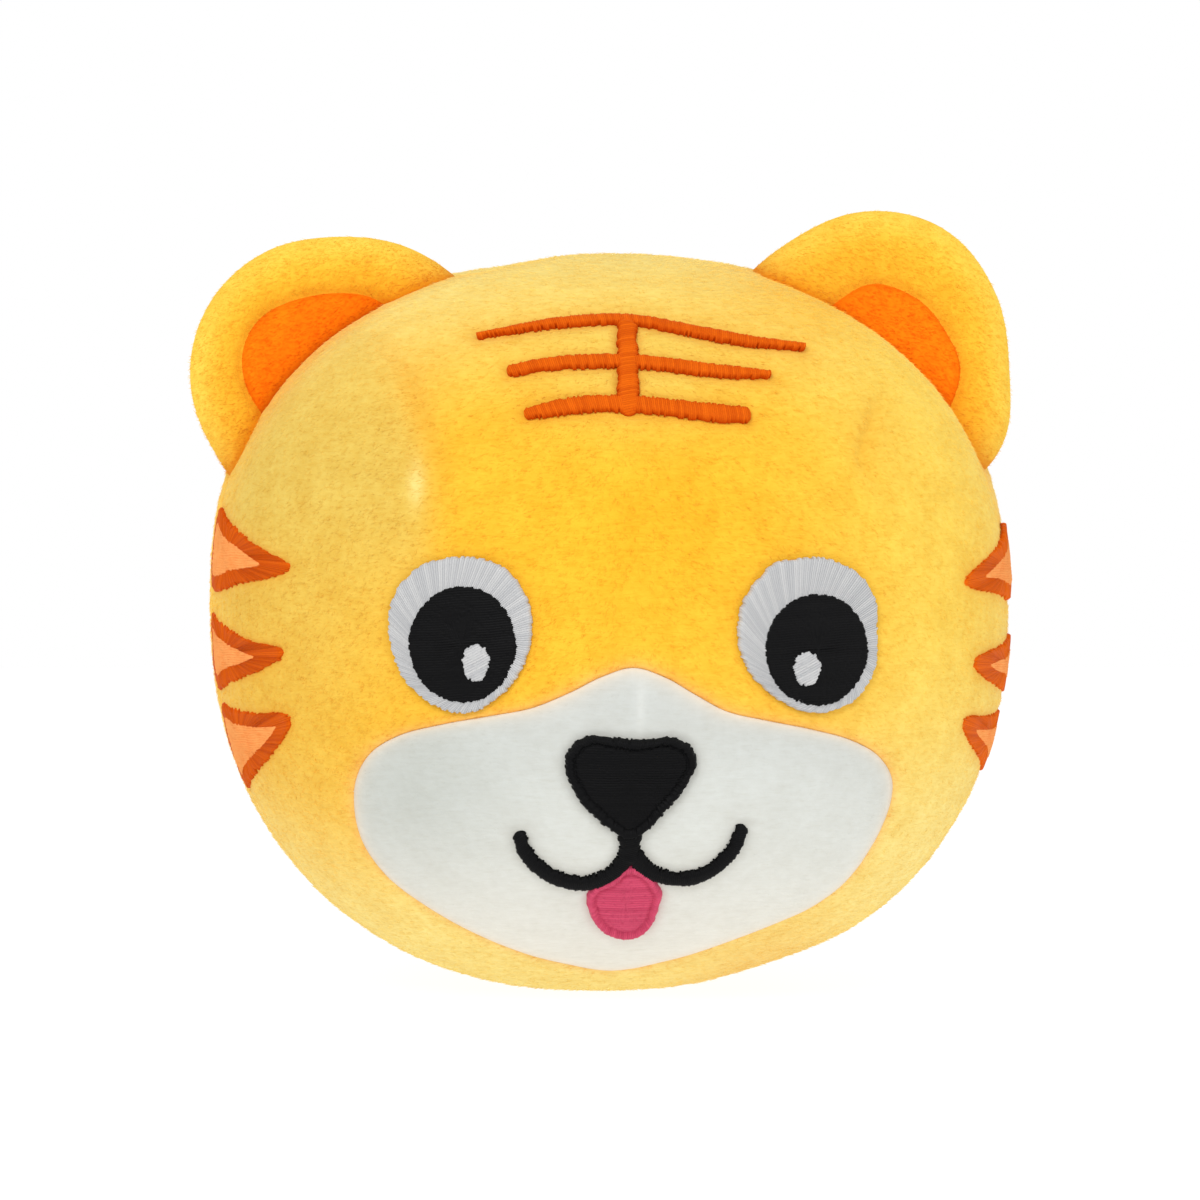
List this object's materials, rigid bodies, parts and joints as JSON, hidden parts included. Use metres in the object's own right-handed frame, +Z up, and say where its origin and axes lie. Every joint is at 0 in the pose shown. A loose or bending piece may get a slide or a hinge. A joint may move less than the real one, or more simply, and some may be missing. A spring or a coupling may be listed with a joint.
{
  "type": "interactive dog toy",
  "caption": "Plush tiger head cover with stitched face, round padded ears and a zip at the back, over a motor driven ball that shakes and sounds.",
  "frame": {"origin": "middle of the whole toy's outline on the floor that it rests on", "axes": "+Z up, the face looks towards -Y, +X to the right of someone who looks at the face"},
  "size_m": [0.1299, 0.1153, 0.1226],
  "materials": {
    "yellow_plush": "short pile",
    "white_plush": "short pile",
    "orange_plush": "short pile",
    "stripe_thread": "satin stitch",
    "white_thread": "satin stitch",
    "black_thread": "satin stitch",
    "pink_thread": "satin stitch",
    "stuffing": "loose fibre",
    "lining_cloth": "knit",
    "zip_cloth": "woven",
    "zip_metal": "satin",
    "white_plastic": "moulded",
    "gear_plastic": "moulded",
    "dark_plastic": "moulded",
    "steel": "bright",
    "zinc_casting": "as cast",
    "cell_wrap": "plain wrap",
    "board": "solder mask"
  },
  "bodies": {
    "cover": {"face_panel": "yellow_plush", "muzzle_panel": "white_plush", "back_panel_left": "yellow_plush", "back_panel_right": "yellow_plush", "ear_left_front": "yellow_plush", "ear_left_back": "yellow_plush", "ear_left_filling": "stuffing", "ear_left_inner": "orange_plush", "ear_right_front": "yellow_plush", "ear_right_back": "yellow_plush", "ear_right_filling": "stuffing", "ear_right_inner": "orange_plush", "eye_left_white": "white_thread", "eye_left_pupil": "black_thread", "eye_left_glint": "white_thread", "eye_right_white": "white_thread", "eye_right_pupil": "black_thread", "eye_right_glint": "white_thread", "nose": "black_thread", "mouth_line": "black_thread", "tongue": "pink_thread", "forehead_stripes": "stripe_thread", "cheek_stripe_left_top": "stripe_thread", "cheek_stripe_left_middle": "stripe_thread", "cheek_stripe_left_bottom": "stripe_thread", "cheek_stripe_right_top": "stripe_thread", "cheek_stripe_right_middle": "stripe_thread", "cheek_stripe_right_bottom": "stripe_thread", "wadding_front": "stuffing", "wadding_rear": "stuffing", "pocket_lining": "lining_cloth", "zip_tape_left": "zip_cloth", "zip_tape_right": "zip_cloth", "zip_top_stop": "zip_metal", "zip_bottom_stop": "zip_metal"},
    "slider": {"zip_slider": "zip_metal"},
    "pull": {"zip_pull": "zip_metal"},
    "core": {"core_shell_front": "white_plastic", "core_shell_rear": "white_plastic", "battery_door": "white_plastic", "battery_door_screw": "steel", "shell_screw_1": "steel", "shell_screw_2": "steel", "shell_screw_3": "steel", "cell_1": "cell_wrap", "cell_2": "cell_wrap", "cell_3": "cell_wrap", "contact_left": "steel", "contact_right": "steel", "gearbox_frame": "gear_plastic", "gearbox_cover": "gear_plastic", "motor": "steel", "circuit_board": "board", "speaker": "dark_plastic"},
    "drive": {"output_gear": "gear_plastic", "drive_shaft": "steel", "eccentric_weight": "zinc_casting"},
    "compound": {"compound_gear": "gear_plastic"},
    "pinion": {"motor_pinion": "gear_plastic"},
    "knob": {"switch_knob": "dark_plastic"}
  },
  "joints": [
    {"name": "zip_slide", "type": "hinge", "parent": "cover", "child": "slider", "pos_m": [0.00125, -0.0004, 0.0576], "axis": [-1, 0, 0], "range_deg": [0, 94]},
    {"name": "zip_pull_swing", "type": "hinge", "parent": "slider", "child": "pull", "pos_m": [0.00125, 0.03598, 0.10588], "axis": [1, 0, 0], "range_deg": [0, 165]},
    {"name": "ball_turn", "type": "hinge", "parent": "cover", "child": "core", "pos_m": [0.00125, -0.0004, 0.0576], "axis": [0, 1, 0], "continuous": true},
    {"name": "weight_spin", "type": "hinge", "parent": "core", "child": "drive", "pos_m": [0.00125, -0.0004, 0.0576], "axis": [0, 1, 0], "continuous": true},
    {"name": "compound_spin", "type": "hinge", "parent": "core", "child": "compound", "pos_m": [0.01337, -0.0004, 0.0646], "axis": [0, 1, 0], "continuous": true},
    {"name": "pinion_spin", "type": "hinge", "parent": "core", "child": "pinion", "pos_m": [-0.00041, -0.0004, 0.06703], "axis": [0, 1, 0], "continuous": true},
    {"name": "switch_slide", "type": "slide", "parent": "core", "child": "knob", "axis": [1, 0, 0], "range_m": [0, 0.004]}
  ],
  "couplings": [
    {"joint": "compound_spin", "follows": "weight_spin", "ratio": -3},
    {"joint": "pinion_spin", "follows": "weight_spin", "ratio": 9}
  ]
}
